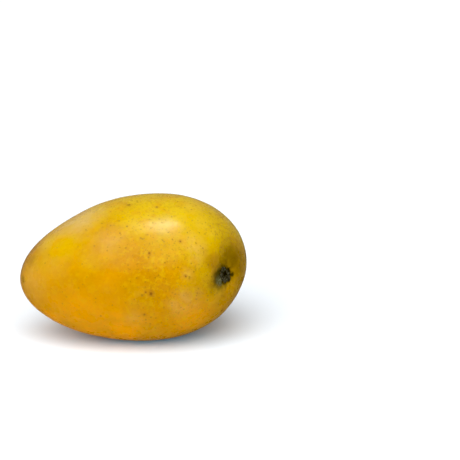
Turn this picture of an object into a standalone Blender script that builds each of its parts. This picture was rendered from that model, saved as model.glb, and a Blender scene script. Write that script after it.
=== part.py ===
"""A ripe mango lying on its cheek: one closed solid, in metres, +Z up.

X runs along the fruit, from its slim apex (-X) to its broad stem end (+X). The stem scar
is on the ventral side (-Y), and +Z is the upper cheek. The origin is on the table, under
the middle of the fruit's box.
"""

import math

import bmesh
import bpy
from mathutils import Euler, Vector, noise

# Driving dimensions of the whole fruit.
LENGTH = 0.120
WIDTH = 0.0870  # ventral edge to dorsal edge
THICKNESS = 0.0755  # cheek to cheek

# What makes a fruit of the plain ellipsoid, as shares of its own half sizes.
STEM_END_FULLNESS = 0.175  # the stem end is this much fuller, and the apex this much slimmer
DORSAL_FULLNESS = 0.05
APEX_HOOK = 0.0045  # how far the apex is drawn towards the ventral side

# Places on the skin are two angles in degrees from the stem end: first round towards the
# ventral side, then up towards the upper cheek.
SCAR_PLACE = (36.0, -1.0)
BEAK_PLACE = (165.0, 6.0)

# The stem scar: a corky button with a raised rim and a pit where the stem's core was.
SCAR_RADIUS = 0.0036
SCAR_HEIGHT = 0.0008
SCAR_PIT_RADIUS = 0.0012
SCAR_PIT_DEPTH = 0.0006

# Broad hollows (-) and swellings (+): place, height, reach.
RELIEF = {
    "stem cavity": ((37.0, 4.0), -0.0032, 0.0090),
    "fold above the scar": ((24.0, 17.0), -0.0014, 0.0100),
    "dorsal shoulder": ((-14.0, 4.0), 0.0004, 0.0200),
    "ventral shoulder": ((66.0, 4.0), 0.0012, 0.0130),
    "flat under the stem end": ((14.0, -24.0), -0.0006, 0.0120),
    "fuller cheek towards the apex": ((-130.0, 66.0), 0.0006, 0.0200),
    "fuller underside towards the apex": ((146.0, -52.0), 0.0004, 0.0180),
    "sinus below the beak": ((150.0, 0.0), -0.0007, 0.0110),
    "beak": (BEAK_PLACE, 0.0006, 0.0050),
    "fuller dorsal edge": ((-100.0, 48.0), 0.0004, 0.0140),
    "flat on the ventral side": ((100.0, 14.0), -0.0005, 0.0220),
}
WAVE_HEIGHT = 0.00035
WAVE_LENGTH = 0.030

# How it lies: the apex droops and the belly gives a little where it rests.
APEX_DROOP = math.radians(4.2)
PRESSED_DEPTH = 0.0005

# The mesh is a sphere whose pole is at the scar, with its rings packed closer there.
SEGMENTS = 72
RINGS = 50
RING_PACKING = 0.60

SKIN_COLOUR = (0.76, 0.37, 0.02, 1.0)
SKIN_ROUGHNESS = 0.42


def direction_of(place):
    """The unit direction of a place on the skin."""
    round_angle, up_angle = (math.radians(a) for a in place)
    level = math.cos(up_angle)
    return Vector((level * math.cos(round_angle), -level * math.sin(round_angle), math.sin(up_angle)))


def smooth_body(direction):
    """The point of the egg-like body in that direction, without hollows or swellings."""
    taper = 1 + STEM_END_FULLNESS * direction.x
    hook = APEX_HOOK * ((1 - direction.x) / 2) ** 2
    x = LENGTH / 2 * direction.x
    y = WIDTH / 2 * taper * direction.y * (1 + DORSAL_FULLNESS * direction.y) - hook
    z = THICKNESS / 2 * taper * direction.z
    return Vector((x, y, z))


def outward(direction):
    """The ellipsoid's outward normal in that direction."""
    return Vector((direction.x / LENGTH, direction.y / WIDTH, direction.z / THICKNESS)).normalized()


def fade(distance, reach):
    """1 at the middle of a feature, falling smoothly to 0 past its reach."""
    return math.exp(-((distance / reach) ** 2))


def step_down(distance, edge, softness):
    """1 inside the edge and 0 outside it, with a smooth wall between."""
    return 1 / (1 + math.exp((distance - edge) / softness))


def relief_height(point):
    """How far the skin stands out of the smooth body at a point of it."""
    height = WAVE_HEIGHT * noise.noise(point / WAVE_LENGTH)
    for place, feature_height, reach in RELIEF.values():
        distance = (point - smooth_body(direction_of(place))).length
        height += feature_height * fade(distance, reach)
    from_scar = (point - smooth_body(direction_of(SCAR_PLACE))).length
    height += SCAR_HEIGHT * step_down(from_scar, SCAR_RADIUS, SCAR_RADIUS / 8)
    height -= SCAR_PIT_DEPTH * fade(from_scar, SCAR_PIT_RADIUS)
    return height


def skin_point(direction):
    """The point of the finished skin in a direction, before the fruit is laid down."""
    point = smooth_body(direction)
    return point + outward(direction) * relief_height(point)


def aim_at_scar(unit_point):
    """A unit sphere's point with its rings packed towards the pole and the pole turned to the scar."""
    from_pole = math.acos(max(-1.0, min(1.0, unit_point.z)))
    packed = from_pole - RING_PACKING * math.sin(from_pole) * math.cos(from_pole / 2) ** 2
    round_pole = math.atan2(unit_point.y, unit_point.x)
    side = math.sin(packed)
    point = Vector((side * math.cos(round_pole), side * math.sin(round_pole), math.cos(packed)))
    return Vector((0, 0, 1)).rotation_difference(direction_of(SCAR_PLACE)) @ point


def make_fruit_mesh(name):
    """The fruit as a closed mesh that lies on z = 0 with the middle of its box over the origin."""
    bm = bmesh.new()
    bmesh.ops.create_uvsphere(bm, u_segments=SEGMENTS, v_segments=RINGS, radius=1)
    laid_down = Euler((0, -APEX_DROOP, 0)).to_matrix()
    for vertex in bm.verts:
        vertex.co = laid_down @ skin_point(aim_at_scar(vertex.co.normalized()))
    low = Vector([min(v.co[axis] for v in bm.verts) for axis in range(3)])
    high = Vector([max(v.co[axis] for v in bm.verts) for axis in range(3)])
    middle = (low + high) / 2
    bmesh.ops.translate(bm, verts=bm.verts, vec=(-middle.x, -middle.y, -low.z - PRESSED_DEPTH))
    for vertex in bm.verts:
        vertex.co.z = max(vertex.co.z, 0.0)
    mesh = bpy.data.meshes.new(name)
    bm.to_mesh(mesh)
    bm.free()
    mesh.shade_smooth()
    return mesh


def make_skin_material():
    material = bpy.data.materials.new("mango_skin")
    material.use_nodes = True
    shader = material.node_tree.nodes["Principled BSDF"]
    shader.inputs["Base Color"].default_value = SKIN_COLOUR
    shader.inputs["Roughness"].default_value = SKIN_ROUGHNESS
    shader.inputs["Metallic"].default_value = 0.0
    material.diffuse_color = SKIN_COLOUR
    return material


def main():
    for old in list(bpy.data.objects):
        bpy.data.objects.remove(old)
    collection = bpy.data.collections.new("mango")
    bpy.context.scene.collection.children.link(collection)
    fruit = bpy.data.objects.new("mango_fruit", make_fruit_mesh("mango_fruit"))
    fruit.data.materials.append(make_skin_material())
    collection.objects.link(fruit)


main()
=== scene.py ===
"""A ripe mango lying on its cheek: its waxy skin, its corky stem scar, and a plain pale stage.

Sizes are in metres and colours are linear. X runs from the fruit's slim apex (-X) to its full
stem end (+X), the stem scar is on the ventral side (-Y), and +Z is the upper cheek.
"""

import math
from typing import NamedTuple

import bmesh
import bpy
from bpy.props import FloatProperty, FloatVectorProperty, IntProperty, PointerProperty
from mathutils import Euler, Matrix, Vector, noise


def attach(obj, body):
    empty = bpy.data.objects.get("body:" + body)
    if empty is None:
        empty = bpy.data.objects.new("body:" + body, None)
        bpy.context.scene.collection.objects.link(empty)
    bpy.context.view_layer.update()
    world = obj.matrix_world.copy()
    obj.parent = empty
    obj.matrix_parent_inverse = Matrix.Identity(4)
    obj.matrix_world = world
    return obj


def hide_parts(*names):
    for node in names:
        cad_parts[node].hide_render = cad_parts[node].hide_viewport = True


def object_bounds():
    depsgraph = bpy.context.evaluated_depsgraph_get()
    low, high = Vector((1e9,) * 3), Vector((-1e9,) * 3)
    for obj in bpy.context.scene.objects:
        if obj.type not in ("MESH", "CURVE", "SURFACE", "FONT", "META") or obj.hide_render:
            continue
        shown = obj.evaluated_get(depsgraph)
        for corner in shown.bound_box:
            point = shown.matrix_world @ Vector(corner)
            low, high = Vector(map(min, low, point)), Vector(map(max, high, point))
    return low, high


bl_info = {
    "name": "Ripe Mango",
    "version": (1, 0, 0),
    "blender": (4, 5, 0),
    "location": "3D View > Sidebar > Mango",
    "description": "Grows a ripe mango's skin and stem scar, and sets it on a pale stage",
    "category": "Add Mesh",
}

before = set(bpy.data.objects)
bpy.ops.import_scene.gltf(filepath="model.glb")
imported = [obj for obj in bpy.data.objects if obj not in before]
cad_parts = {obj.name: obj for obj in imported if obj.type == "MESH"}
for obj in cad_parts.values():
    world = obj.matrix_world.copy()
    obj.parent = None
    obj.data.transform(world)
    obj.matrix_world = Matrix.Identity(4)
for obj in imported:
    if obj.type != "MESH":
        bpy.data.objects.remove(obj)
solid_low, solid_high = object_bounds()

FRUIT_NODE = "mango_fruit"
BODY = "root"
MM = 0.001

# Places on the skin are two angles in degrees from the stem end: first round towards the
# ventral side, then up towards the upper cheek.
SCAR_PLACE = (36.0, -1.0)
BEAK_PLACE = (165.0, 6.0)

# Broad hollows (-) and swellings (+): place, height, reach.
RELIEF = {
    "stem cavity": ((37.0, 4.0), -0.0032, 0.0090),
    "fold above the scar": ((24.0, 17.0), -0.0014, 0.0100),
    "dorsal shoulder": ((-14.0, 4.0), 0.0004, 0.0200),
    "ventral shoulder": ((66.0, 4.0), 0.0012, 0.0130),
    "flat under the stem end": ((14.0, -24.0), -0.0006, 0.0120),
    "fuller cheek towards the apex": ((-130.0, 66.0), 0.0006, 0.0200),
    "fuller underside towards the apex": ((146.0, -52.0), 0.0004, 0.0180),
    "sinus below the beak": ((150.0, 0.0), -0.0007, 0.0110),
    "beak": (BEAK_PLACE, 0.0006, 0.0050),
    "fuller dorsal edge": ((-100.0, 48.0), 0.0004, 0.0140),
    "flat on the ventral side": ((100.0, 14.0), -0.0005, 0.0220),
}

# Small dents in the skin, most of them where the fruit was knocked or pressed: place, depth, reach.
DENTS = {
    "under the stem's pad": (SCAR_PLACE, -0.00060, 0.0024),
    "by the peach patch": ((57.0, 20.0), -0.00022, 0.0045),
    "low on the ventral side": ((74.0, -24.0), -0.00025, 0.0060),
    "near the apex": ((128.0, 24.0), -0.00020, 0.0050),
    "on the upper cheek": ((60.0, 62.0), -0.00018, 0.0060),
    "behind the upper cheek": ((-70.0, 40.0), -0.00030, 0.0070),
    "dorsal side": ((-48.0, -6.0), -0.00030, 0.0055),
    "dorsal side towards the apex": ((-128.0, 10.0), -0.00025, 0.0060),
}

# Russet flecks, where the skin was rubbed or stung: place, radius.
FLECKS = {
    "under the middle": ((83.0, -3.0), 0.0009),
    "beside it": ((85.5, -1.5), 0.0005),
    "left of the scar": ((65.0, 7.0), 0.0006),
    "low on the ventral side": ((87.0, -21.0), 0.0006),
    "upper front": ((61.0, 32.0), 0.0006),
    "front": ((81.0, 28.0), 0.0006),
    "top": ((53.0, 66.0), 0.0006),
    "top by the middle": ((88.0, 78.0), 0.0009),
    "under the stem end": ((23.0, -25.0), 0.0008),
    "lower under the stem end": ((33.0, -30.0), 0.0007),
    "dorsal side": ((-62.0, 12.0), 0.0016),
    "dorsal side, lower": ((-70.0, -14.0), 0.0010),
    "behind the stem end": ((-20.0, 30.0), 0.0012),
    "back of the upper cheek": ((-118.0, 44.0), 0.0010),
}

# The largest pores, dried dark, most of them in a band round the upper stem end.
DARK_PORES = (
    (71.0, 36.0),
    (83.0, 40.0),
    (60.0, 15.0),
    (52.0, 28.0),
    (53.0, 37.0),
    (65.0, 35.0),
    (68.0, 14.0),
    (74.0, 19.0),
    (63.0, 6.0),
    (60.0, 9.0),
    (47.0, -12.0),
    (52.0, -11.0),
    (98.0, 48.0),
    (28.0, 52.0),
    (4.0, 34.0),
    (-22.0, 12.0),
    (-38.0, 42.0),
    (-55.0, 24.0),
    (-84.0, 10.0),
    (-96.0, 32.0),
)
DARK_PORE_RADIUS = 0.00060
DARK_PORE_WANDER = 0.00060


class Patch(NamedTuple):
    """A patch of colour on the skin, and how soft, ragged and finely grained its edge is."""

    place: tuple
    radius: float
    strength: float = 1.0
    softness: float = 0.8
    raggedness: float = 0.9
    grain: float = 0.004


def peach_patch(place, radius, strength):
    """A patch of bloom, whose edge is more broken than that of the other patches."""
    return Patch(place, radius, strength, softness=0.7, raggedness=1.1)


# Pale peach bloom: place, radius, strength.
PEACH_PATCHES = {
    "left of the scar": peach_patch((53.0, 27.0), 0.0060, 1.0),
    "left of the scar, lower": peach_patch((56.0, 18.0), 0.0040, 0.8),
    "beside the scar's left": peach_patch((64.0, 8.0), 0.0030, 0.6),
    "low on the ventral side": peach_patch((65.0, -14.0), 0.0076, 0.85),
    "upper front": peach_patch((106.0, 44.0), 0.0075, 0.30),
    "over the scar": peach_patch((36.0, 36.0), 0.0062, 0.65),
    "top of the stem end": peach_patch((23.0, 52.0), 0.0055, 0.5),
    "under the middle": peach_patch((92.0, -25.0), 0.0045, 0.38),
    "dorsal side": peach_patch((-66.0, 18.0), 0.0090, 0.7),
    "back of the upper cheek": peach_patch((-112.0, 52.0), 0.0080, 0.6),
}

# Drifts of riper and of duller skin, laid one over the other: the colour's name, the patch. The two
# underside patches low down are painted light that brightens the shaded bottom, and the dusk on the upper
# front is a painted dulling under the highlight.
DRIFTS_AND_PAINTED_LIGHT = {
    "under the middle": ("gold", Patch((81.0, 6.0), 0.0075, 0.85, raggedness=1.0)),
    "beside it": ("russet", Patch((84.0, 4.0), 0.0085, 0.10, raggedness=1.0)),
    # Painted light: the underside colour brightens the shaded bottom here and below the apex.
    "low by the stem end": ("underside", Patch((56.0, -31.0), 0.0105, 0.75, raggedness=1.0, grain=0.005)),
    "low by the apex": ("underside", Patch((121.0, -20.0), 0.0112, 0.58, raggedness=1.0, grain=0.005)),
    "above the apex": ("yellow", Patch((148.0, 34.0), 0.0110, 0.32)),
    "by the apex": ("dusk", Patch((154.0, 12.0), 0.0095, 0.26)),
    # Painted highlight: a duller patch under the highlight, which the wax colour over it whitens.
    "upper front": ("dusk", Patch((64.0, 47.0), 0.0085, 0.12)),
}
BRIGHT_STEM_END = Patch((31.0, 40.0), 0.0150, 0.42, softness=0.9, grain=0.006)
# Dull gold over the stem end: partly the skin's own duller colour near the stalk, partly painted shade
# over the stem end and its cavity.
DULL_AND_SHADED_STEM_END = Patch((16.0, -3.0), 0.0280, 0.33, softness=0.9, raggedness=0.5, grain=0.010)

# Painted reflection of the bright surroundings along the upper edge, in a pale grey wax colour, with a
# painted whitening of the highlight on the upper front; and the patch that the painted reflection leaves
# out.
WAX_SHEEN_PATCHES = {
    "top of the apex end": Patch((167.0, 63.0), 0.0125, 0.66, softness=0.75, grain=0.006),
    "above the apex": Patch((164.0, 44.0), 0.0095, 0.20, grain=0.006),
    "apex": Patch((157.0, 9.0), 0.0105, 0.16, grain=0.006),
    "right of the apex": Patch((140.0, 27.0), 0.0085, 0.10, grain=0.006),
    "upper middle": Patch((105.0, 46.0), 0.0068, 0.15),
    # Painted highlight: pale wax colour that whitens the highlight on the upper front.
    "upper front": Patch((65.0, 46.0), 0.0050, 0.16),
}
SHEEN_GAP_PATCH = Patch((143.0, 40.0), 0.0052, 0.30, raggedness=1.0, grain=0.003)

# Green that hasn't quite gone, and, in the fold above the scar, over it and left of it, painted shade of
# the stem cavity in olive.
GREEN_AND_HOLLOW_SHADE_PATCHES = {
    "fold above the scar": Patch((26.0, 8.0), 0.0078, 0.88, softness=0.9, raggedness=1.0),
    "over the scar": Patch((33.0, 6.0), 0.0058, 0.80, raggedness=1.0, grain=0.003),
    "behind the apex": Patch((186.0, 22.0), 0.0105, 0.42, raggedness=0.6),
    "above the beak": Patch((165.0, 24.0), 0.0032, 0.34, raggedness=1.0, grain=0.002),
    "left of the scar": Patch((49.0, -5.0), 0.0034, 0.42, raggedness=1.0, grain=0.002),
}
BEAK_SMUDGE = Patch(BEAK_PLACE, 0.0019, 0.55, softness=0.7, grain=0.001)

# Round the stem scar: rubbed skin, sap stains, dried sap under the pad, and torn skin at its left.
RUBBED_PATCHES = {
    "upper left": Patch((46.0, 12.0), 0.0045, 0.30, softness=0.6, grain=0.002),
    "further out": Patch((52.0, 10.0), 0.0080, 0.26, grain=0.003),
}
SAP_STAINS = {
    "left of the pad": Patch((41.5, -1.2), 0.0057, softness=0.55, grain=0.0024),
    "right of the pad": Patch((30.0, -2.5), 0.0011, softness=0.50, grain=0.0010),
}
DRIED_SAP = Patch(SCAR_PLACE, 0.0045, softness=0.25, raggedness=0.8, grain=0.0012)
TORN_SKIN = Patch((42.5, -3.5), 0.0024, softness=0.6, raggedness=1.2, grain=0.0009)
NICKED_PATCH = Patch((18.0, 29.0), 0.0130, raggedness=0.8)

# On the pad itself: its pale rim and its dark pit.
PAD_RIM = Patch((44.5, -5.0), 0.0016, 0.8, softness=0.5, raggedness=0.8, grain=0.001)
PAD_PIT = Patch(SCAR_PLACE, 0.0014, 0.8, softness=0.4, raggedness=0.6, grain=0.001)

# What is the same all over a material.
SKIN_FINISH = {
    "Specular IOR Level": 0.18,
    "Coat Weight": 0.04,
    "Coat Roughness": 0.30,
    "Sheen Weight": 0.045,
    "Sheen Roughness": 0.35,
}
CORK_FINISH = {"Specular IOR Level": 0.12}
FLOOR_FINISH = {"Roughness": 0.9, "Specular IOR Level": 0.1, "Emission Strength": 1.0}

# The floor near the fruit glows cooler, apart from where the fruit rests. Each oval's middle, its
# reach along X and Y, and the shares of the reach at which its mask is 0 and 1.
NEAR_FLOOR = ((-0.007, -0.035), (0.070, 0.050), (1.2, 0.6))
OFF_REST_FLOOR = ((0.0, 0.0), (0.034, 0.012), (0.5, 1.3))
DARKER_FLOOR = 0.985

# Each lamp's direction from the fruit, and how wide it looks in degrees.
SOFT_BOX = ((-0.15, -0.61, 0.775), 65)
SHINE = ((0.10, -0.01, 1.00), 24)

# The sky is weaker below: its share there, and the heights between which it grows to the whole.
SKY_SHARE_BELOW = 0.2
SKY_EDGE = (-0.25, 0.10)

# Keeps the ripples from following the waves.
RIPPLE_SHIFT = Vector((7.1, 2.3, 4.9))

# The pad of the stem scar: its faces, the size of its crumbs and the least that it stands proud.
PAD_SEGMENTS = 144
PAD_RINGS = 72
CRUMB_SIZE = 0.9 * MM
THINNEST_PAD = 0.15 * MM


def direction_of(place):
    """The unit direction of a place on the skin."""
    round_angle, up_angle = (math.radians(angle) for angle in place)
    level = math.cos(up_angle)
    along, across = math.cos(round_angle), -math.sin(round_angle)
    return Vector((level * along, level * across, math.sin(up_angle)))


def fade(distance, reach):
    """1 at the middle of a feature, falling smoothly to 0 past its reach."""
    return math.exp(-((distance / reach) ** 2))


class FruitForm:
    """The fruit's skin as a formula, before the fruit is laid down."""

    def __init__(self, shape):
        self.half = Vector((shape.length, shape.width, shape.thickness)) / 2
        self.stem_fullness = shape.stem_end_fullness
        self.dorsal_fullness = shape.dorsal_fullness
        self.hook = shape.apex_hook
        self.wave = (shape.wave_height, shape.wave_length)
        self.ripple = (shape.ripple_height, shape.ripple_length)
        self.pucker = (shape.pucker_height, shape.pucker_count, shape.pucker_reach)
        self.scar = self.smooth_body(direction_of(SCAR_PLACE))
        self.features = [
            (self.smooth_body(direction_of(place)), height, reach)
            for place, height, reach in [*RELIEF.values(), *DENTS.values()]
        ]
        out = self.outward(direction_of(SCAR_PLACE))
        self.scar_up = (Vector((0, 0, 1)) - out * out.z).normalized()
        self.scar_side = self.scar_up.cross(out)

    def smooth_body(self, direction):
        """The point of the egg-like body in that direction, without hollows or swellings."""
        taper = 1 + self.stem_fullness * direction.x
        hook = self.hook * ((1 - direction.x) / 2) ** 2
        return Vector(
            (
                self.half.x * direction.x,
                self.half.y * taper * direction.y * (1 + self.dorsal_fullness * direction.y) - hook,
                self.half.z * taper * direction.z,
            )
        )

    def outward(self, direction):
        """The ellipsoid's outward normal in that direction."""
        return Vector([d / h for d, h in zip(direction, self.half)]).normalized()

    def height(self, point):
        """How far the skin stands out of the smooth body at a point of it."""
        wave_height, wave_length = self.wave
        ripple_height, ripple_length = self.ripple
        total = wave_height * noise.noise(point / wave_length)
        total += ripple_height * noise.noise(point / ripple_length + RIPPLE_SHIFT)
        for middle, height, reach in self.features:
            distance = (point - middle).length
            if distance < 3 * reach:
                total += height * fade(distance, reach)
        return total + self.pucker_at(point)

    def pucker_at(self, point):
        """The faint folds that run from the stem scar like the spokes of a wheel."""
        pucker_height, count, reach = self.pucker
        from_scar = point - self.scar
        distance = from_scar.length
        if distance > 3 * reach:
            return 0.0
        round_scar = math.atan2(from_scar.dot(self.scar_up), from_scar.dot(self.scar_side))
        wobble = 1.4 * noise.noise(point / (0.6 * reach))
        strength = fade(distance, reach) * min(1.0, distance / (0.25 * reach))
        return pucker_height * strength * math.cos(count * round_scar + wobble)

    def skin_point(self, direction):
        """The point of the finished skin in a direction."""
        point = self.smooth_body(direction)
        return point + self.outward(direction) * self.height(point)


TURN_TO_SCAR = Vector((0, 0, 1)).rotation_difference(direction_of(SCAR_PLACE))


def aim_at_scar(unit_point, packing):
    """A unit sphere's point with its rings packed towards the pole and the pole turned to the scar."""
    from_pole = math.acos(max(-1.0, min(1.0, unit_point.z)))
    packed = from_pole - packing * math.sin(from_pole) * math.cos(from_pole / 2) ** 2
    round_pole = math.atan2(unit_point.y, unit_point.x)
    side = math.sin(packed)
    point = Vector((side * math.cos(round_pole), side * math.sin(round_pole), math.cos(packed)))
    return TURN_TO_SCAR @ point


def lay_down(bm, shape):
    """Lays the grown fruit on its cheek in the solid's box, and gives the matrix that does it.

    The part that would sink below the table is pressed flat.
    """
    droop = Euler((0, -shape.apex_droop, 0)).to_matrix().to_4x4()
    bmesh.ops.transform(bm, matrix=droop, verts=bm.verts)
    axes = list(zip(*(vertex.co for vertex in bm.verts)))
    low, high = Vector([min(axis) for axis in axes]), Vector([max(axis) for axis in axes])
    low.z += shape.pressed_depth
    stretch = [
        (solid_top - solid_bottom) / (top - bottom)
        for solid_bottom, solid_top, bottom, top in zip(solid_low, solid_high, low, high)
    ]
    fit = Matrix.Translation(solid_low) @ Matrix.Diagonal((*stretch, 1)) @ Matrix.Translation(-low)
    bmesh.ops.transform(bm, matrix=fit, verts=bm.verts)
    for vertex in bm.verts:
        vertex.co.z = max(vertex.co.z, 0.0)
    return fit @ droop


def new_piece(name, bm, material):
    """A smooth-shaded object at the origin from a finished bmesh."""
    mesh = bpy.data.meshes.new(name)
    bm.to_mesh(mesh)
    bm.free()
    mesh.shade_smooth()
    mesh.materials.append(material)
    piece = bpy.data.objects.new(name, mesh)
    bpy.context.scene.collection.objects.link(piece)
    return piece


# Shader helpers.


def add_node(tree, kind, inputs=None, **settings):
    """A new node with its settings made, and its inputs set to a value or linked to a socket."""
    made = tree.nodes.new(kind)
    for name, value in settings.items():
        setattr(made, name, value)
    for key, value in (inputs or {}).items():
        if isinstance(value, bpy.types.NodeSocket):
            tree.links.new(value, made.inputs[key])
        else:
            made.inputs[key].default_value = value
    return made


def calculate(tree, operation, first, second=0.0, clamp=False):
    """The result of a Math node."""
    inputs = {0: first, 1: second}
    return add_node(tree, "ShaderNodeMath", inputs, operation=operation, use_clamp=clamp).outputs[0]


def vector_math(tree, operation, *vectors, output="Vector"):
    """The result of a Vector Math node."""
    inputs = dict(enumerate(vectors))
    return add_node(tree, "ShaderNodeVectorMath", inputs, operation=operation).outputs[output]


def noise_at(tree, position, scale, detail, output=0):
    """Noise from 0 to 1, as a value or, with output "Color", as three values."""
    inputs = {"Vector": position, "Scale": scale, "Detail": detail}
    return add_node(tree, "ShaderNodeTexNoise", inputs).outputs[output]


def rise(tree, value, low, high):
    """0 up to low and 1 from high, with a smooth step between; low may be the larger of the two."""
    inputs = {"Value": value, "From Min": low, "From Max": high}
    return add_node(tree, "ShaderNodeMapRange", inputs, interpolation_type="SMOOTHSTEP").outputs[0]


def mix_colour(tree, factor, first, second):
    """Two colours mixed by a factor."""
    return add_node(tree, "ShaderNodeMix", {0: factor, 6: first, 7: second}, data_type="RGBA").outputs[2]


def mix_value(tree, factor, first, second):
    """Two values mixed by a factor."""
    return add_node(tree, "ShaderNodeMix", {0: factor, 2: first, 3: second}, data_type="FLOAT").outputs[0]


def object_position(tree):
    """The shaded point in the object's own coordinates."""
    return add_node(tree, "ShaderNodeTexCoord").outputs["Object"]


def colour(values):
    """A colour with its alpha, as shader sockets take it."""
    return (*values, 1.0)


def new_group(name, inputs, outputs):
    """An empty shader node group with float or vector sockets, and its two end nodes."""
    group = bpy.data.node_groups.new(name, "ShaderNodeTree")
    for socket_name, default in inputs.items():
        kind = "NodeSocketVector" if default is None else "NodeSocketFloat"
        socket = group.interface.new_socket(socket_name, in_out="INPUT", socket_type=kind)
        if default is not None:
            socket.default_value = default
    for socket_name in outputs:
        group.interface.new_socket(socket_name, in_out="OUTPUT", socket_type="NodeSocketFloat")
    return group, group.nodes.new("NodeGroupInput").outputs, group.nodes.new("NodeGroupOutput").inputs


def place_group(tree, group, **inputs):
    """Places a group in a material with its own values, and gives its outputs."""
    return add_node(tree, "ShaderNodeGroup", inputs, node_tree=group).outputs


def cloud_group():
    """Soft patches of a given size: noise raised between two levels."""
    inputs = {"Vector": None, "Size": 0.01, "Detail": 3.0, "From": 0.45, "To": 0.65}
    group, given, result = new_group("soft_patches", inputs, ["Mask", "Noise"])
    scale = calculate(group, "DIVIDE", 1.0, given["Size"])
    patches = noise_at(group, given["Vector"], scale, given["Detail"])
    group.links.new(rise(group, patches, given["From"], given["To"]), result["Mask"])
    group.links.new(patches, result["Noise"])
    return group


def dot_group():
    """Scattered dots: the middles of random cells, a little out of round, each with its own tone."""
    inputs = {"Vector": None, "Spacing": 0.0024, "Radius": 0.0004, "Amount": 1.0}
    group, given, result = new_group("scattered_dots", inputs, ["Dot", "Tone"])
    wobble_scale = calculate(group, "DIVIDE", 0.8, given["Radius"])
    wobble = noise_at(group, given["Vector"], wobble_scale, 1.0, "Color")
    wobble = vector_math(group, "SUBTRACT", wobble, (0.5, 0.5, 0.5))
    shift = add_node(
        group, "ShaderNodeVectorMath", {0: wobble, "Scale": given["Radius"]}, operation="SCALE"
    ).outputs["Vector"]
    moved = vector_math(group, "ADD", given["Vector"], shift)
    scale = calculate(group, "DIVIDE", 1.0, given["Spacing"])
    cells = add_node(group, "ShaderNodeTexVoronoi", {"Vector": moved, "Scale": scale}).outputs
    distance = calculate(group, "MULTIPLY", cells["Distance"], given["Spacing"])
    tone = add_node(group, "ShaderNodeSeparateColor", {0: cells["Color"]}).outputs
    kept = calculate(group, "LESS_THAN", tone[0], given["Amount"])
    radius = calculate(group, "MULTIPLY", given["Radius"], mix_value(group, tone[1], 0.7, 1.1))
    dot = rise(group, distance, radius, calculate(group, "MULTIPLY", radius, 0.35))
    group.links.new(calculate(group, "MULTIPLY", dot, kept), result["Dot"])
    group.links.new(tone[2], result["Tone"])
    return group


def ragged_spot_group():
    """A spot round a point whose edge wanders in and out."""
    inputs = {
        "Vector": None,
        "Centre": None,
        "Radius": 0.004,
        "Softness": 0.3,
        "Raggedness": 0.3,
        "Grain": 0.002,
    }
    group, given, result = new_group("ragged_spot", inputs, ["Mask"])
    distance = vector_math(group, "DISTANCE", given["Vector"], given["Centre"], output="Value")
    wander = noise_at(group, given["Vector"], calculate(group, "DIVIDE", 1.0, given["Grain"]), 2.0)
    wander = calculate(group, "MULTIPLY", calculate(group, "SUBTRACT", wander, 0.5), given["Raggedness"])
    share = calculate(group, "ADD", calculate(group, "DIVIDE", distance, given["Radius"]), wander)
    outer = calculate(group, "ADD", 1.0, given["Softness"])
    inner = calculate(group, "SUBTRACT", 1.0, given["Softness"])
    group.links.new(rise(group, share, outer, inner), result["Mask"])
    return group


def scratch_group():
    """Short thin scratches that run one way, from stretched noise."""
    inputs = {"Vector": None, "Width": 0.0006, "Amount": 0.5}
    group, given, result = new_group("fine_scratches", inputs, ["Mask"])
    stretch = {"Vector": given["Vector"], "Rotation": (0.5, 0.9, 0.4), "Scale": (0.12, 1.0, 1.0)}
    turned = add_node(group, "ShaderNodeMapping", stretch).outputs[0]
    lines = noise_at(group, turned, calculate(group, "DIVIDE", 1.0, given["Width"]), 1.0)
    full = calculate(group, "ADD", given["Amount"], 0.05)
    group.links.new(rise(group, lines, given["Amount"], full), result["Mask"])
    return group


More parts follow.
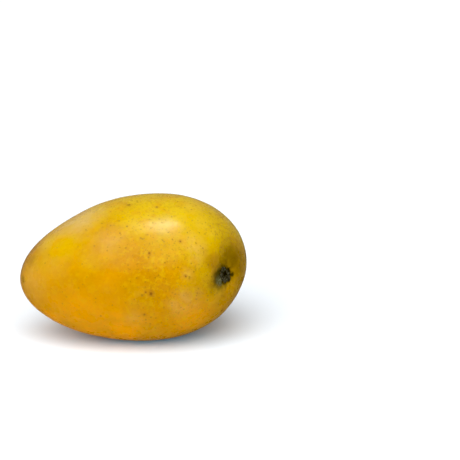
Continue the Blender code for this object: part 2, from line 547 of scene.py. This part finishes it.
class Paint:
    """A material on the laid fruit in the making: its colour so far, and masks for the next layer."""

    def __init__(self, name, form, laying):
        self.material = bpy.data.materials.new(name)
        self.material.use_nodes = True
        self.tree = self.material.node_tree
        self.position = object_position(self.tree)
        self.form = form
        self.laying = laying
        self.colour = None
        groups = bpy.data.node_groups
        self.cloud_group = groups.get("soft_patches") or cloud_group()
        self.dot_group = groups.get("scattered_dots") or dot_group()
        self.spot_group = groups.get("ragged_spot") or ragged_spot_group()
        self.scratch_group = groups.get("fine_scratches") or scratch_group()

    def on_skin(self, place):
        """The point of the laid fruit's skin at a place."""
        return self.laying @ self.form.skin_point(direction_of(place))

    def spot(self, patch):
        """The mask of a patch, at its strength."""
        mask = place_group(
            self.tree,
            self.spot_group,
            Vector=self.position,
            Centre=self.on_skin(patch.place),
            Radius=patch.radius,
            Softness=patch.softness,
            Raggedness=patch.raggedness,
            Grain=patch.grain,
        )["Mask"]
        return self.times(mask, patch.strength)

    def spots(self, patches, mask=0.0):
        """Patches added to a mask, each point taking the strongest."""
        for patch in patches:
            mask = self.strongest(mask, self.spot(patch))
        return mask

    def cloud(self, size, low, high, detail=3.0):
        """Soft patches all over, from noise that counts from low and is full at high."""
        inputs = {"Vector": self.position, "Size": size, "Detail": detail, "From": low, "To": high}
        return place_group(self.tree, self.cloud_group, **inputs)["Mask"]

    def dots(self, spacing, radius, amount):
        """Scattered dots with their tones."""
        inputs = {"Vector": self.position, "Spacing": spacing, "Radius": radius, "Amount": amount}
        return place_group(self.tree, self.dot_group, **inputs)

    def scratches(self, width, amount):
        """Fine scratches, fewer as the amount nears 1."""
        inputs = {"Vector": self.position, "Width": width, "Amount": amount}
        return place_group(self.tree, self.scratch_group, **inputs)["Mask"]

    def times(self, first, second):
        """Two masks multiplied, or one weakened by a number."""
        return calculate(self.tree, "MULTIPLY", first, second)

    def strongest(self, first, second):
        """The stronger of two masks at each point."""
        return calculate(self.tree, "MAXIMUM", first, second)

    def without(self, first, second):
        """A mask with another taken off it."""
        return calculate(self.tree, "SUBTRACT", first, second, clamp=True)

    def between(self, mask, least, most):
        """A value that runs from least to most with a mask."""
        return mix_value(self.tree, mask, least, most)

    def lay(self, mask, values):
        """Lays a colour over the colours so far."""
        self.colour = mix_colour(self.tree, mask, self.colour, colour(values))

    def finish(self, roughness, height, bump_distance, constants):
        """Links the colour, the roughness and the bump to the shader, and gives the material."""
        shader = self.tree.nodes["Principled BSDF"]
        bump = add_node(self.tree, "ShaderNodeBump", {"Distance": bump_distance, "Height": height})
        self.tree.links.new(self.colour, shader.inputs["Base Color"])
        self.tree.links.new(roughness, shader.inputs["Roughness"])
        self.tree.links.new(bump.outputs["Normal"], shader.inputs["Normal"])
        for name, value in constants.items():
            shader.inputs[name].default_value = value
        return self.material


# Materials.


def lay_ripeness(paint, looks):
    """The ground colour: orange below and at the apex, gold, then yellow above and at the stem end."""
    tree = paint.tree
    up_and_along = vector_math(tree, "DOT_PRODUCT", paint.position, (2.0, 0.0, 8.0), output="Value")
    drift = place_group(tree, paint.cloud_group, Vector=paint.position, Size=0.022, Detail=3.0)["Noise"]
    drift = paint.times(calculate(tree, "SUBTRACT", drift, 0.5), 0.7)
    ripeness = calculate(tree, "ADD", calculate(tree, "ADD", up_and_along, 0.12), drift)
    ramp = add_node(tree, "ShaderNodeValToRGB", {0: ripeness})
    stops = ramp.color_ramp.elements
    # The underside colour at the bottom is brighter than the orange above it: partly orange skin, partly
    # painted light on the shaded underside.
    stops[0].position, stops[0].color = 0.12, colour(looks.underside)
    stops[1].position, stops[1].color = 0.76, colour(looks.yellow)
    stops.new(0.27).color = colour(looks.orange)
    stops.new(0.46).color = colour(looks.gold)
    paint.colour = ramp.outputs["Color"]


def lay_bloom(paint, looks):
    """Peach bloom in large soft patches with mottling inside it, then the drifts of ripeness."""
    peach = paint.spots(PEACH_PATCHES.values(), paint.times(paint.cloud(0.013, 0.48, 0.70), 0.12))
    mottling = paint.cloud(0.0022, 0.36, 0.64, detail=2.0)
    paint.lay(paint.times(peach, paint.between(mottling, 0.34, 0.56)), looks.peach)
    for colour_name, patch in DRIFTS_AND_PAINTED_LIGHT.values():
        paint.lay(paint.spot(patch), getattr(looks, colour_name))
    paint.lay(paint.times(paint.cloud(0.0055, 0.46, 0.66), 0.40), looks.orange)


def lay_mottling(paint, looks, stem_half):
    """Fine light and dark mottling, stronger in the stem half, and the bright skin of the stem end."""
    light = paint.cloud(0.0020, 0.48, 0.68, detail=2.0)
    paint.lay(paint.times(light, paint.between(stem_half, 0.20, 0.36)), looks.yellow)
    dark = paint.cloud(0.0014, 0.50, 0.72, detail=2.0)
    paint.lay(paint.times(dark, paint.between(stem_half, 0.12, 0.22)), looks.russet)
    paint.lay(paint.spot(BRIGHT_STEM_END), looks.lemon)


def lay_wax_sheen(paint, looks):
    """Grey wax along the upper edge, thin in places."""
    wax_sheen = paint.without(paint.spots(WAX_SHEEN_PATCHES.values()), paint.spot(SHEEN_GAP_PATCH))
    thin = paint.cloud(0.0045, 0.38, 0.62, detail=2.0)
    paint.lay(paint.times(wax_sheen, paint.between(thin, 0.6, 1.0)), looks.wax_sheen)


def lay_green_and_shade(paint, looks):
    """The dull stem end, and the green that hasn't quite gone."""
    paint.lay(paint.spot(DULL_AND_SHADED_STEM_END), looks.dusk)
    paint.lay(paint.spots(GREEN_AND_HOLLOW_SHADE_PATCHES.values()), looks.olive)


def lay_sap(paint, looks):
    """Rubbed skin, sap stains and torn skin round the scar. Gives the mask of the stains."""
    for patch in RUBBED_PATCHES.values():
        paint.lay(paint.spot(patch), looks.russet)
    stain = paint.spots(SAP_STAINS.values())
    paint.lay(paint.times(stain, 0.92), looks.halo)
    dried_sap = paint.spot(DRIED_SAP)
    paint.lay(dried_sap, looks.cork)
    torn = paint.without(paint.spot(TORN_SKIN), dried_sap)
    torn = paint.times(torn, paint.between(paint.cloud(0.0008, 0.42, 0.58, detail=4.0), 0.15, 1.0))
    paint.lay(paint.times(torn, 0.60), looks.fibre)
    return stain


def lay_pores(paint, looks, stem_half):
    """Small brown pores, closer together in the stem half, and a few large ones. Gives their mask."""
    closeness = paint.between(stem_half, 0.14, 0.97)
    closeness = paint.times(closeness, paint.between(paint.cloud(0.012, 0.35, 0.55), 0.55, 1.0))
    fine = paint.dots(0.0014, 0.00042, closeness)
    small = paint.dots(0.0021, 0.00072, closeness)
    large = paint.dots(0.0070, 0.00085, 0.45)
    pores = paint.times(small["Dot"], paint.between(small["Tone"], 0.22, 0.58))
    pores = paint.strongest(pores, paint.times(fine["Dot"], 0.38))
    pores = paint.strongest(pores, paint.times(large["Dot"], 0.50))
    wander = noise_at(paint.tree, paint.position, 1400.0, 1.0, "Color")
    moved = vector_math(paint.tree, "MULTIPLY_ADD", wander, (DARK_PORE_WANDER,) * 3, paint.position)
    for place in DARK_PORES:
        middle = paint.on_skin(place) + Vector((DARK_PORE_WANDER / 2,) * 3)
        away = vector_math(paint.tree, "DISTANCE", moved, middle, output="Value")
        dark_pore = rise(paint.tree, away, DARK_PORE_RADIUS, 0.4 * DARK_PORE_RADIUS)
        pores = paint.strongest(pores, paint.times(dark_pore, 0.60))
    paint.lay(pores, looks.lenticel)
    return pores


def lay_wear(paint, looks):
    """Russet flecks with dark specks in them, scratches and nicks. Gives the mask of what is rubbed."""
    flecks = [
        Patch(place, 1.9 * radius, softness=0.6, raggedness=1.6, grain=0.0012)
        for place, radius in FLECKS.values()
    ]
    specks = [
        Patch(place, 0.8 * radius, softness=0.5, raggedness=1.6, grain=0.0007)
        for place, radius in FLECKS.values()
    ]
    scratch = paint.times(paint.scratches(0.0007, 0.70), paint.cloud(0.018, 0.52, 0.60))
    nicks = paint.times(paint.scratches(0.0012, 0.57), paint.spot(NICKED_PATCH))
    scratch = paint.times(paint.strongest(scratch, nicks), 0.50)
    rubbed = paint.strongest(paint.times(paint.spots(flecks), 0.35), scratch)
    paint.lay(rubbed, looks.russet)
    speck = paint.spots(specks)
    paint.lay(paint.times(speck, 0.62), looks.speck)
    paint.lay(paint.spot(BEAK_SMUDGE), looks.olive)
    return paint.strongest(rubbed, speck)


def make_skin_material(looks, form, laying):
    """Waxy ripe skin, from its ground colour up to the scratches, duller where it is marked."""
    paint = Paint("ripe_mango_skin", form, laying)
    tree = paint.tree
    towards_stem = vector_math(tree, "DOT_PRODUCT", paint.position, (1.0, 0.0, 0.35), output="Value")
    stem_half = rise(tree, towards_stem, -0.003, 0.027)
    lay_ripeness(paint, looks)
    lay_bloom(paint, looks)
    lay_mottling(paint, looks, stem_half)
    lay_wax_sheen(paint, looks)
    lay_green_and_shade(paint, looks)
    stain = lay_sap(paint, looks)
    pores = lay_pores(paint, looks, stem_half)
    rubbed = lay_wear(paint, looks)

    dull = paint.cloud(0.006, 0.35, 0.65)
    roughness = paint.between(dull, looks.wax_roughness - 0.05, looks.wax_roughness + 0.07)
    roughness = paint.between(paint.strongest(pores, rubbed), roughness, 0.75)
    roughness = paint.between(stain, roughness, 0.70)

    fine_grain = paint.times(noise_at(tree, paint.position, 1100.0, 3.0), 0.25)
    swell = paint.times(noise_at(tree, paint.position, 210.0, 2.0), 0.9)
    height = calculate(tree, "ADD", fine_grain, swell)
    height = calculate(tree, "SUBTRACT", height, paint.times(pores, 0.30))
    height = calculate(tree, "SUBTRACT", height, paint.times(rubbed, 0.20))
    return paint.finish(roughness, height, 0.00010, SKIN_FINISH)


def make_cork_material(looks, form, laying):
    """The stem scar's cork: near black where sap dried, with pale torn fibres and a grey-green rim."""
    paint = Paint("stem_scar_cork", form, laying)
    paint.colour = colour(looks.cork)
    grains = paint.cloud(0.0007, 0.35, 0.70, detail=4.0)
    paint.lay(grains, looks.cork_light)
    paint.lay(paint.times(paint.scratches(0.00034, 0.62), 0.45), looks.fibre)
    paint.lay(paint.spot(PAD_RIM), looks.fibre)
    paint.lay(paint.spot(PAD_PIT), looks.cork)
    crumbs = noise_at(paint.tree, paint.position, 2600.0, 4.0)
    return paint.finish(paint.between(grains, 0.75, 0.95), crumbs, 0.00025, CORK_FINISH)


def floor_oval(tree, position, middle, reach, edge):
    """The mask of an oval of the floor, or of the floor outside it."""
    scale = (1 / reach[0], 1 / reach[1], 0.0)
    offset = (-middle[0] / reach[0], -middle[1] / reach[1], 0.0)
    from_middle = vector_math(tree, "MULTIPLY_ADD", position, scale, offset)
    return rise(tree, vector_math(tree, "LENGTH", from_middle, output="Value"), *edge)


def make_floor_material(stage):
    """A matt pale floor, lit a little from below as a light table is, and cooler near the fruit."""
    material = bpy.data.materials.new("pale_floor")
    material.use_nodes = True
    tree = material.node_tree
    shader = tree.nodes["Principled BSDF"]
    position = object_position(tree)
    near = floor_oval(tree, position, *NEAR_FLOOR)
    near = calculate(tree, "MULTIPLY", near, floor_oval(tree, position, *OFF_REST_FLOOR))
    glow = mix_colour(tree, near, colour(stage.floor_glow), colour(stage.near_glow))
    darker = colour([DARKER_FLOOR * channel for channel in stage.floor_colour])
    floor = mix_colour(tree, noise_at(tree, position, 3.0, 2.0), darker, colour(stage.floor_colour))
    tree.links.new(floor, shader.inputs["Base Color"])
    tree.links.new(glow, shader.inputs["Emission Color"])
    for name, value in FLOOR_FINISH.items():
        shader.inputs[name].default_value = value
    return material


# Settings.


def length_property(name, description, value):
    """A length that the user can change, in metres."""
    return FloatProperty(name=name, description=description, default=value, unit="LENGTH")


def angle_property(name, description, degrees):
    """An angle that the user can change."""
    value = math.radians(degrees)
    return FloatProperty(name=name, description=description, default=value, unit="ROTATION")


def share_property(name, description, value):
    """A share that the user can change, from none at 0 to all at 1."""
    return FloatProperty(name=name, description=description, default=value, subtype="FACTOR")


def colour_property(name, description, value):
    """A colour that the user can change."""
    return FloatVectorProperty(
        name=name, description=description, default=value, subtype="COLOR", min=0, max=1
    )


class MangoShape(bpy.types.PropertyGroup):
    """The fruit's sizes."""

    length: length_property("Length", "Apex to stem end", 0.120)
    width: length_property("Width", "Ventral edge to dorsal edge", 0.0870)
    thickness: length_property("Thickness", "Cheek to cheek", 0.0755)
    stem_end_fullness: share_property("Stem End Fullness", "How much fuller the stem end is", 0.175)
    dorsal_fullness: share_property("Dorsal Fullness", "How much fuller the dorsal side is", 0.05)
    apex_hook: length_property("Apex Hook", "How far the apex is drawn to the ventral side", 0.0045)
    wave_height: length_property("Wave Height", "Height of the broad waves in the skin", 0.35 * MM)
    wave_length: length_property("Wave Length", "Length of the broad waves", 0.030)
    ripple_height: length_property("Ripple Height", "Height of the small ripples", 0.10 * MM)
    ripple_length: length_property("Ripple Length", "Length of the small ripples", 0.008)
    pucker_height: length_property("Pucker Height", "Height of the folds round the stem scar", 0.22 * MM)
    pucker_count: IntProperty(name="Puckers", description="Folds round the stem scar", default=9, min=0)
    pucker_reach: length_property("Pucker Reach", "How far those folds run", 0.0085)
    apex_droop: angle_property("Apex Droop", "How far the apex hangs", 4.2)
    pressed_depth: length_property("Pressed Depth", "How far the skin gives where it rests", 0.5 * MM)
    segments: IntProperty(name="Segments", description="Faces round the fruit", default=480, min=24)
    rings: IntProperty(name="Rings", description="Rings of faces from pole to pole", default=200, min=12)
    ring_packing: share_property("Ring Packing", "How closely rings are packed at the scar", 0.72)
    laying: FloatVectorProperty(
        name="Laying",
        description="How the grown fruit was laid down: the rows of a matrix",
        default=[value for row in Matrix.Identity(4) for value in row],
        size=16,
    )


class MangoScar(bpy.types.PropertyGroup):
    """The corky pad where the stalk broke off."""

    radius: length_property("Radius", "Radius of the pad", 4.0 * MM)
    height: length_property("Height", "How far the rim stands up", 0.8 * MM)
    pit_radius: length_property("Pit Radius", "Radius of the pit", 1.2 * MM)
    pit_depth: length_property("Pit Depth", "Depth of the pit", 0.4 * MM)
    raggedness: share_property("Raggedness", "How much the pad's edge wanders", 0.26)
    crumb_height: length_property("Crumb Height", "Height of the torn crumbs on it", 0.26 * MM)
    root_depth: length_property("Root Depth", "How far the pad reaches under the skin", 1.2 * MM)


class MangoLooks(bpy.types.PropertyGroup):
    """The colours of the skin and the cork."""

    gold: colour_property("Gold", "Ripe skin in the middle", (0.448, 0.203, 0.001))
    yellow: colour_property("Yellow", "Skin at the top and the stem end", (0.595, 0.395, 0.005))
    lemon: colour_property("Lemon", "Brightest skin, over the stem end", (0.70, 0.490, 0.004))
    orange: colour_property("Orange", "Skin at the apex", (0.54, 0.232, 0.001))
    # The underside colour is partly the skin's orange and partly painted light that brightens the shaded
    # bottom.
    underside: colour_property("Underside", "Skin near where it rests", (0.74, 0.288, 0.001))
    peach: colour_property("Peach", "Pale bloom in soft patches", (0.655, 0.395, 0.092))
    # The wax colour is painted reflection along the upper edge and a painted whitening of the highlight.
    wax_sheen: colour_property("Wax", "Grey wax along the upper edge", (0.56, 0.385, 0.150))
    # Olive is laid both as green that hasn't quite gone and as painted shade in the stem cavity round the
    # scar.
    olive: colour_property("Olive", "Green that hasn't quite gone", (0.130, 0.072, 0.001))
    # Dusk is partly the stem end's duller skin and partly painted shade over it; on the upper front it is
    # laid as a painted dulling under the highlight.
    dusk: colour_property("Dusk", "Dull gold of the stem end", (0.27, 0.185, 0.002))
    halo: colour_property("Halo", "Sap stain round the scar", (0.030, 0.026, 0.003))
    lenticel: colour_property("Lenticel", "Breathing pores", (0.130, 0.066, 0.003))
    russet: colour_property("Russet", "Rubbed and stung skin", (0.24, 0.072, 0.008))
    speck: colour_property("Speck", "Dried middle of a fleck", (0.090, 0.028, 0.006))
    cork: colour_property("Cork", "Dried sap on the scar", (0.015, 0.012, 0.005))
    cork_light: colour_property("Light Cork", "Crumbs of cork", (0.070, 0.062, 0.038))
    fibre: colour_property("Fibre", "Torn pale fibres", (0.17, 0.19, 0.11))
    wax_roughness: share_property("Wax Roughness", "Roughness of clean skin", 0.29)


class MangoStage(bpy.types.PropertyGroup):
    """The floor, the light and the camera."""

    floor_size: length_property("Floor Size", "Side of the floor", 12.0)
    floor_colour: colour_property("Floor Colour", "The pale floor", (0.850, 0.880, 0.905))
    floor_glow: colour_property("Floor Glow", "Light from under the floor", (0.044, 0.062, 0.080))
    near_glow: colour_property("Near Glow", "Cooler light by the fruit", (0.040, 0.108, 0.168))
    sky_strength: FloatProperty(name="Sky Strength", description="Light from all round", default=0.28)
    soft_box: FloatProperty(name="Soft Box", description="Strength of the large soft box", default=3.95)
    shine: FloatProperty(name="Shine", description="Strength of the highlight's lamp", default=2.05)
    black_level: FloatProperty(
        name="Black Level", description="Veil of light taken off the picture", default=0.014
    )
    azimuth: angle_property("Azimuth", "Camera's turn round the fruit", -5)
    elevation: angle_property("Elevation", "Camera's height angle", 15)
    distance: length_property("Distance", "Camera to fruit", 0.90)
    lens: FloatProperty(name="Lens", description="Focal length in millimetres", default=132.6)
    aim_right: length_property("Aim Right", "How far right of the fruit the camera aims", 0.05107)
    aim_up: length_property("Aim Up", "How far above the fruit the camera aims", 0.01880)


# Operators.


class MANGO_OT_grow_fruit(bpy.types.Operator):
    """Grow the fruit's skin over the solid, from a sphere whose pole is at the stem scar"""

    bl_idname = "mango.grow_fruit"
    bl_label = "Grow Fruit"

    def execute(self, context):
        shape = context.scene.mango_shape
        form = FruitForm(shape)
        coarser = 1
        bm = bmesh.new()
        bmesh.ops.create_uvsphere(
            bm, u_segments=shape.segments // coarser, v_segments=shape.rings // coarser, radius=1
        )
        for vertex in bm.verts:
            vertex.co = form.skin_point(aim_at_scar(vertex.co.normalized(), shape.ring_packing))
        laying = lay_down(bm, shape)
        shape.laying = [value for row in laying for value in row]
        fruit = new_piece("fruit_skin", bm, make_skin_material(context.scene.mango_looks, form, laying))
        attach(fruit, BODY)
        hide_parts(FRUIT_NODE)
        return {"FINISHED"}


class MANGO_OT_seat_stem_scar(bpy.types.Operator):
    """Seat the ragged corky pad of the stem scar in its hollow"""

    bl_idname = "mango.seat_stem_scar"
    bl_label = "Seat Stem Scar"

    def execute(self, context):
        shape = context.scene.mango_shape
        scar = context.scene.mango_scar
        form = FruitForm(shape)
        laying = Matrix([shape.laying[start : start + 4] for start in range(0, 16, 4)])
        bm = bmesh.new()
        bmesh.ops.create_uvsphere(bm, u_segments=PAD_SEGMENTS, v_segments=PAD_RINGS, radius=1)
        out = form.outward(direction_of(SCAR_PLACE))
        for vertex in bm.verts:
            vertex.co = laying @ self.pad_point(vertex.co.normalized(), form, scar, out)
        bmesh.ops.recalc_face_normals(bm, faces=bm.faces)
        pad = new_piece("stem_scar", bm, make_cork_material(context.scene.mango_looks, form, laying))
        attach(pad, BODY)
        return {"FINISHED"}

    def pad_point(self, unit_point, form, scar, out):
        """A unit sphere's point as a point of the pad, which follows the skin under it."""
        round_pad = math.atan2(unit_point.y, unit_point.x)
        share = math.hypot(unit_point.x, unit_point.y)
        edge = Vector((math.cos(round_pad), math.sin(round_pad), 0))
        broad_lobes, small_lobes = noise.noise(edge * 1.6), noise.noise(edge * 4.5 + Vector((3, 1, 2)))
        wander = broad_lobes + 0.6 * small_lobes
        across = scar.radius * (1 + scar.raggedness * wander) * share
        offset = form.scar_side * (across * edge.x) + form.scar_up * (across * edge.y)
        target = form.scar + offset
        point = form.skin_point(self.direction_at(target, form))
        if unit_point.z <= 0:
            return point - out * scar.root_depth * abs(unit_point.z) ** 0.5
        rim = scar.height * (0.55 + 0.45 * share**2)
        pit = scar.pit_depth * fade(across, scar.pit_radius)
        crumbs = scar.crumb_height * noise.fractal(target / CRUMB_SIZE, 1.0, 2.0, 3)
        return point + out * (1 - share**8) * max(THINNEST_PAD, rim - pit + crumbs)

    def direction_at(self, target, form):
        """The unit direction whose smooth body point is nearest to a point close to the skin."""
        shrink = Matrix.Diagonal([1 / half for half in form.half])
        direction = (shrink @ target).normalized()
        for _ in range(4):
            error = target - form.smooth_body(direction)
            direction = (direction + shrink @ error).normalized()
        return direction


class MANGO_OT_set_stage(bpy.types.Operator):
    """Lay the pale floor, and set the soft light and the camera"""

    bl_idname = "mango.set_stage"
    bl_label = "Set Stage"

    def execute(self, context):
        stage = context.scene.mango_stage
        self.lay_floor(stage)
        self.light_sky(context.scene, stage)
        middle = (solid_low + solid_high) / 2
        soft_box = self.hang_lamp("soft_box", middle, stage.soft_box, *SOFT_BOX)
        soft_box.visible_glossy = False
        shine = self.hang_lamp("shine", middle, stage.shine, *SHINE)
        shine.visible_diffuse = False
        self.place_camera(context.scene, stage, middle)
        self.set_picture(context.scene.view_settings, stage)
        return {"FINISHED"}

    def lay_floor(self, stage):
        """A wide floor that the waxy skin doesn't mirror."""
        bm = bmesh.new()
        bmesh.ops.create_grid(bm, x_segments=1, y_segments=1, size=stage.floor_size / 2)
        floor = new_piece("floor", bm, make_floor_material(stage))
        floor.visible_glossy = False

    def light_sky(self, scene, stage):
        """White light from all round, weaker from below, where the waxy skin mirrors its own shadow."""
        world = bpy.data.worlds.new("soft_sky")
        world.use_nodes = True
        tree = world.node_tree
        background = tree.nodes["Background"]
        background.inputs["Color"].default_value = (1.0, 1.0, 1.0, 1.0)
        way = add_node(tree, "ShaderNodeTexCoord").outputs["Generated"]
        upwards = add_node(tree, "ShaderNodeSeparateXYZ", {0: way}).outputs["Z"]
        share = mix_value(tree, rise(tree, upwards, *SKY_EDGE), SKY_SHARE_BELOW, 1.0)
        strength = calculate(tree, "MULTIPLY", share, stage.sky_strength)
        tree.links.new(strength, background.inputs["Strength"])
        scene.world = world

    def hang_lamp(self, name, middle, strength, towards, width):
        """A lamp far off in one direction, as wide as a soft box of that angle."""
        lamp = bpy.data.lights.new(name, "SUN")
        lamp.angle = math.radians(width)
        lamp.energy = strength
        hung = bpy.data.objects.new(name, lamp)
        hung.location = middle + Vector(towards).normalized()
        hung.rotation_euler = Vector(towards).to_track_quat("Z", "Y").to_euler()
        bpy.context.scene.collection.objects.link(hung)
        return hung

    def place_camera(self, scene, stage, middle):
        """A camera that looks past the fruit, which lies at the lower left of the picture."""
        level = math.cos(stage.elevation)
        across, away = math.sin(stage.azimuth), -math.cos(stage.azimuth)
        back = Vector((level * across, level * away, math.sin(stage.elevation)))
        turn = (-back).to_track_quat("-Z", "Y")
        right, up = turn @ Vector((1, 0, 0)), turn @ Vector((0, 1, 0))
        lens = bpy.data.cameras.new("camera")
        lens.lens = stage.lens
        camera = bpy.data.objects.new("camera", lens)
        camera.location = middle + back * stage.distance + right * stage.aim_right + up * stage.aim_up
        camera.rotation_euler = turn.to_euler()
        scene.collection.objects.link(camera)
        scene.camera = camera

    def set_picture(self, view, stage):
        """Plain colours, with the veil of light taken off the darks."""
        view.view_transform = "Standard"
        view.use_curve_mapping = True
        view.curve_mapping.black_level = (stage.black_level,) * 3


class MANGO_PT_panel(bpy.types.Panel):
    """The mango's steps and settings"""

    bl_idname = "MANGO_PT_panel"
    bl_label = "Mango"
    bl_space_type = "VIEW_3D"
    bl_region_type = "UI"
    bl_category = "Mango"

    def draw(self, context):
        """A button for each step, then the settings in their groups."""
        for step in STEPS:
            self.layout.operator(step.bl_idname)
        for group in SETTINGS:
            settings = getattr(context.scene, group)
            column = self.layout.column(heading=settings.__doc__)
            for name in settings.__annotations__:
                column.prop(settings, name)


STEPS = (MANGO_OT_grow_fruit, MANGO_OT_seat_stem_scar, MANGO_OT_set_stage)
SETTINGS = {
    "mango_shape": MangoShape,
    "mango_scar": MangoScar,
    "mango_looks": MangoLooks,
    "mango_stage": MangoStage,
}
CLASSES = (*SETTINGS.values(), *STEPS, MANGO_PT_panel)


def register():
    """Adds the settings, the steps and the panel."""
    for cls in CLASSES:
        bpy.utils.register_class(cls)
    for name, settings in SETTINGS.items():
        setattr(bpy.types.Scene, name, PointerProperty(type=settings))


def unregister():
    """Takes them away again."""
    for name in SETTINGS:
        delattr(bpy.types.Scene, name)
    for cls in reversed(CLASSES):
        bpy.utils.unregister_class(cls)


def main():
    """Builds the mango on its stage, and writes the solid's box and the visual model's."""
    register()
    bpy.ops.mango.grow_fruit()
    bpy.ops.mango.seat_stem_scar()
    bpy.ops.mango.set_stage()


if __name__ == "__main__":
    main()
